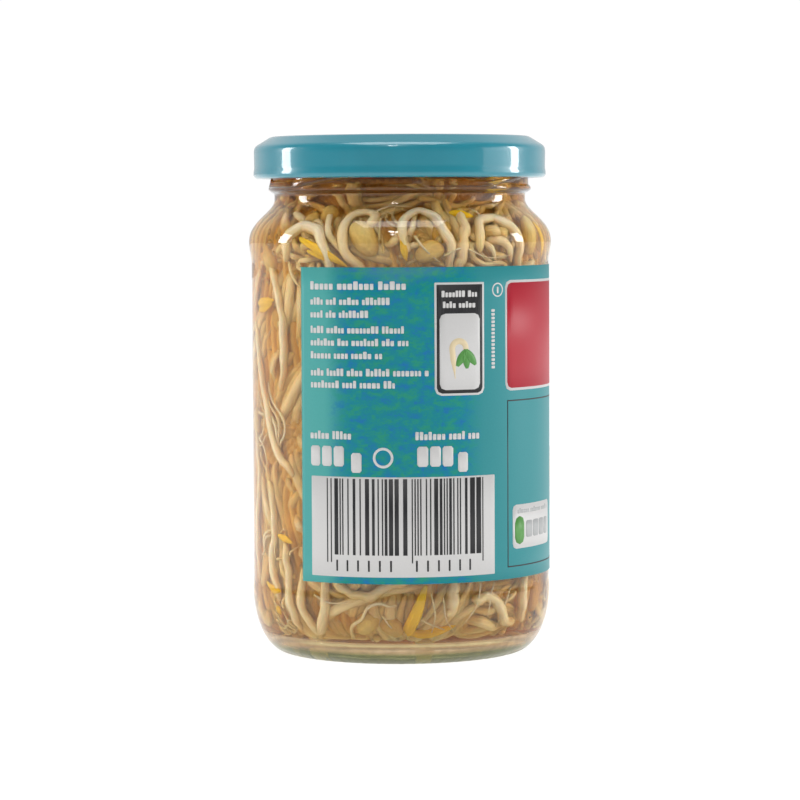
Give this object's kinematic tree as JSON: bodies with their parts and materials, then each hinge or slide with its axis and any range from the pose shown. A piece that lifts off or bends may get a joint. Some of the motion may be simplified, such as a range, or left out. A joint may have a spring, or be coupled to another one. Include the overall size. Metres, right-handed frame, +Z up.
{
  "type": "jar of bean sprouts",
  "caption": "Twist-off glass jar packed with pickled bean sprouts in brine, with a wrap-round paper label and a painted tin lid that unscrews.",
  "frame": {"origin": "centre of the base ring that the jar stands on", "axes": "+Z up through the lid, -Y towards the front of the picture's view, +X to its right"},
  "size_m": [0.0728, 0.0728, 0.124],
  "materials": {
    "glass": "clear container glass with a faint green tint",
    "lid_paint": "gloss teal lacquer on tinplate",
    "sealant": "matt pale sealing compound",
    "label_paper": "coated paper printed in teal",
    "brine": "clear amber liquid",
    "sprout": "wet cream plant flesh",
    "bean": "wet yellow seed leaf"
  },
  "bodies": {
    "jar_body": {"jar": "glass", "label": "label_paper", "brine": "brine", "sprout_tangle": "sprout", "bean_heel_beige": "bean", "bean_heel_level": "bean", "bean_heel_level_back": "bean", "bean_right_arch": "bean", "bean_right_arch_back": "bean", "bean_right_upright": "bean", "sprout_centre_arch": "sprout", "sprout_heel_beige": "sprout", "sprout_heel_bent": "sprout", "sprout_heel_bent_back": "sprout", "sprout_heel_level": "sprout", "sprout_heel_level_back": "sprout", "sprout_heel_loop": "sprout", "sprout_heel_loop_back": "sprout", "sprout_heel_right": "sprout", "sprout_heel_upright": "sprout", "sprout_hooked": "sprout", "sprout_hooked_back": "sprout", "sprout_left_arch": "sprout", "sprout_left_arch_back": "sprout", "sprout_right_arch": "sprout", "sprout_right_arch_back": "sprout", "sprout_right_upright": "sprout", "sprout_side_bow": "sprout", "sprout_side_low": "sprout", "sprout_side_slant": "sprout", "sprout_side_upright": "sprout"},
    "lid_seal": {"lid_gasket": "sealant"},
    "lid_body": {"lid": "lid_paint"}
  },
  "joints": [
    {"name": "lid_rise", "type": "slide", "parent": "jar_body", "child": "lid_seal", "axis": [0, 0, 1], "range_m": [0, 0.0018]},
    {"name": "lid_turn", "type": "hinge", "parent": "lid_seal", "child": "lid_body", "pos_m": [0, 0, 0.114], "axis": [0, 0, 1], "range_deg": [0, 54.9]}
  ],
  "couplings": [
    {"joint": "lid_rise", "follows": "lid_turn", "m_per_rad": 0.001875}
  ]
}
